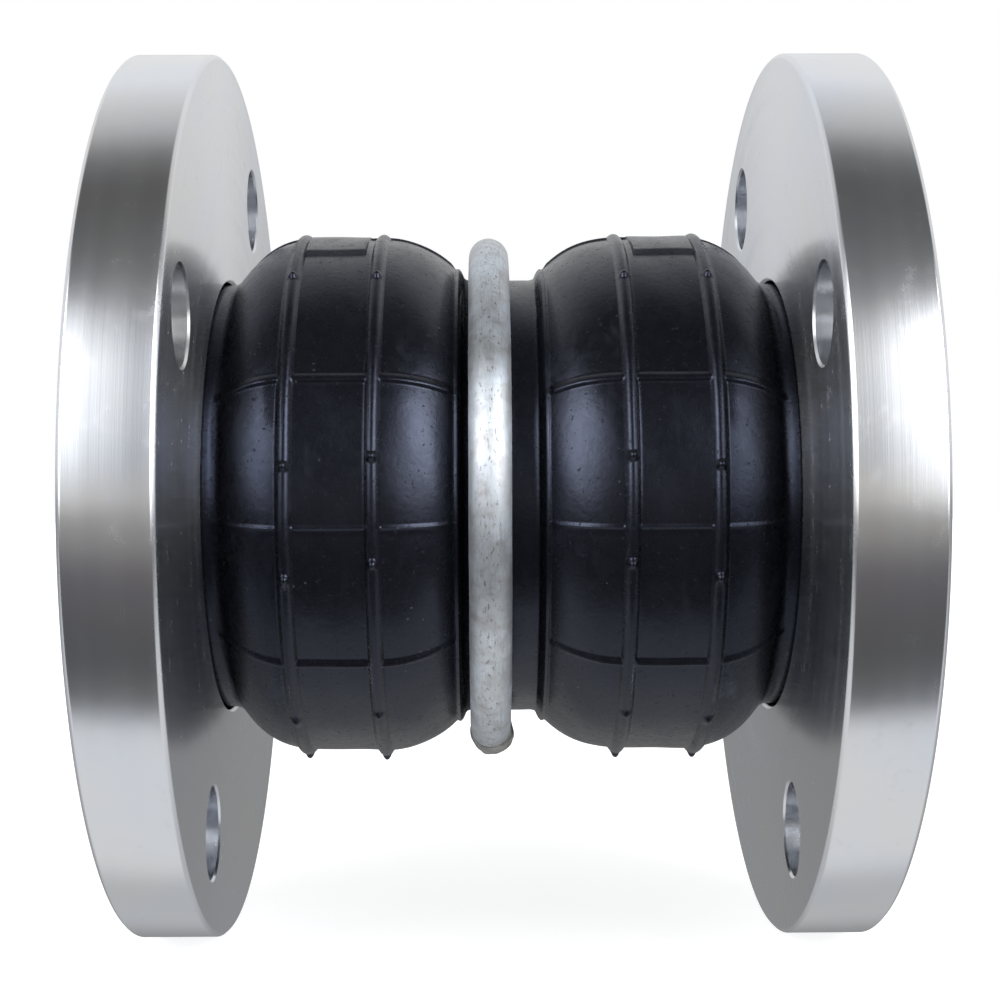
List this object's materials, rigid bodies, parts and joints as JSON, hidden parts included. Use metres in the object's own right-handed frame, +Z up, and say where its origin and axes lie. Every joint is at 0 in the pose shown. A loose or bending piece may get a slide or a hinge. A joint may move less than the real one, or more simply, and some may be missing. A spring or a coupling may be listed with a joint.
{
  "type": "rubber expansion joint",
  "caption": "Twin-sphere rubber pipe expansion joint with floating zinc-plated plate flanges and a root ring round the waist.",
  "frame": {"origin": "centre of the joint: on the pipe axis, midway between the two sealing faces", "axes": "+X along the pipe axis towards the right flange, +Z up, camera side -Y"},
  "size_m": [0.165, 0.1906, 0.1906],
  "materials": {
    "zinc_plate": "zinc-plated turned steel",
    "galvanised_rod": "dull mottled galvanised steel",
    "weld_metal": "rough weld, galvanised over",
    "black_rubber": "moulded black EPDM, satin",
    "liner_rubber": "smooth black EPDM liner",
    "nylon_cord": "dipped nylon tyre cord",
    "bead_wire": "bronze-coated high-tensile wire",
    "bead_rubber": "hard black filler rubber",
    "wrap_fabric": "rubberised square-woven fabric"
  },
  "bodies": {
    "left_flange": {"left_flange": "zinc_plate"},
    "left_end": {"left_sealing_collar": "black_rubber", "left_bead_core": "bead_wire", "left_bead_filler": "bead_rubber", "left_bead_wrap": "wrap_fabric"},
    "left_arch": {"cord_ply_2": "nylon_cord"},
    "waist": {"outer_cover": "black_rubber", "inner_tube": "liner_rubber", "cord_ply_1": "nylon_cord", "cord_ply_4": "nylon_cord"},
    "root_ring": {"root_ring": "galvanised_rod", "root_ring_weld": "weld_metal"},
    "right_arch": {"cord_ply_3": "nylon_cord"},
    "right_end": {"right_sealing_collar": "black_rubber", "right_bead_core": "bead_wire", "right_bead_filler": "bead_rubber", "right_bead_wrap": "wrap_fabric"},
    "right_flange": {"right_flange": "zinc_plate"}
  },
  "joints": [
    {"name": "left_flange_turn", "type": "hinge", "parent": "left_flange", "child": "left_end", "pos_m": [-0.0675, 0, 0], "axis": [1, 0, 0], "continuous": true},
    {"name": "left_bend", "type": "hinge", "parent": "left_end", "child": "left_arch", "pos_m": [-0.046, 0, 0], "axis": [0, 1, 0], "range_deg": [-12.5, 12.5], "stiffness_Nm_per_rad": 290, "deforming": ["outer_cover", "inner_tube", "cord_ply_1", "cord_ply_2", "cord_ply_3", "cord_ply_4"]},
    {"name": "left_stroke", "type": "slide", "parent": "left_arch", "child": "waist", "axis": [1, 0, 0], "range_m": [-0.0125, 0.0075], "stiffness_N_per_m": 120000, "deforming": ["outer_cover", "inner_tube", "cord_ply_1", "cord_ply_2", "cord_ply_3", "cord_ply_4"]},
    {"name": "right_stroke", "type": "slide", "parent": "waist", "child": "right_arch", "axis": [1, 0, 0], "range_m": [-0.0125, 0.0075], "stiffness_N_per_m": 120000, "deforming": ["outer_cover", "inner_tube", "cord_ply_1", "cord_ply_2", "cord_ply_3", "cord_ply_4"]},
    {"name": "right_bend", "type": "hinge", "parent": "right_arch", "child": "right_end", "pos_m": [0.046, 0, 0], "axis": [0, 1, 0], "range_deg": [-12.5, 12.5], "stiffness_Nm_per_rad": 290, "deforming": ["outer_cover", "inner_tube", "cord_ply_1", "cord_ply_2", "cord_ply_3", "cord_ply_4"]},
    {"name": "right_flange_turn", "type": "hinge", "parent": "right_end", "child": "right_flange", "pos_m": [0.0675, 0, 0], "axis": [1, 0, 0], "continuous": true},
    {"name": "ring_slide", "type": "slide", "parent": "waist", "child": "root_ring", "axis": [1, 0, 0], "range_m": [-0.001, 0.0056]}
  ],
  "couplings": [
    {"joint": "right_stroke", "follows": "left_stroke", "ratio": 1}
  ]
}
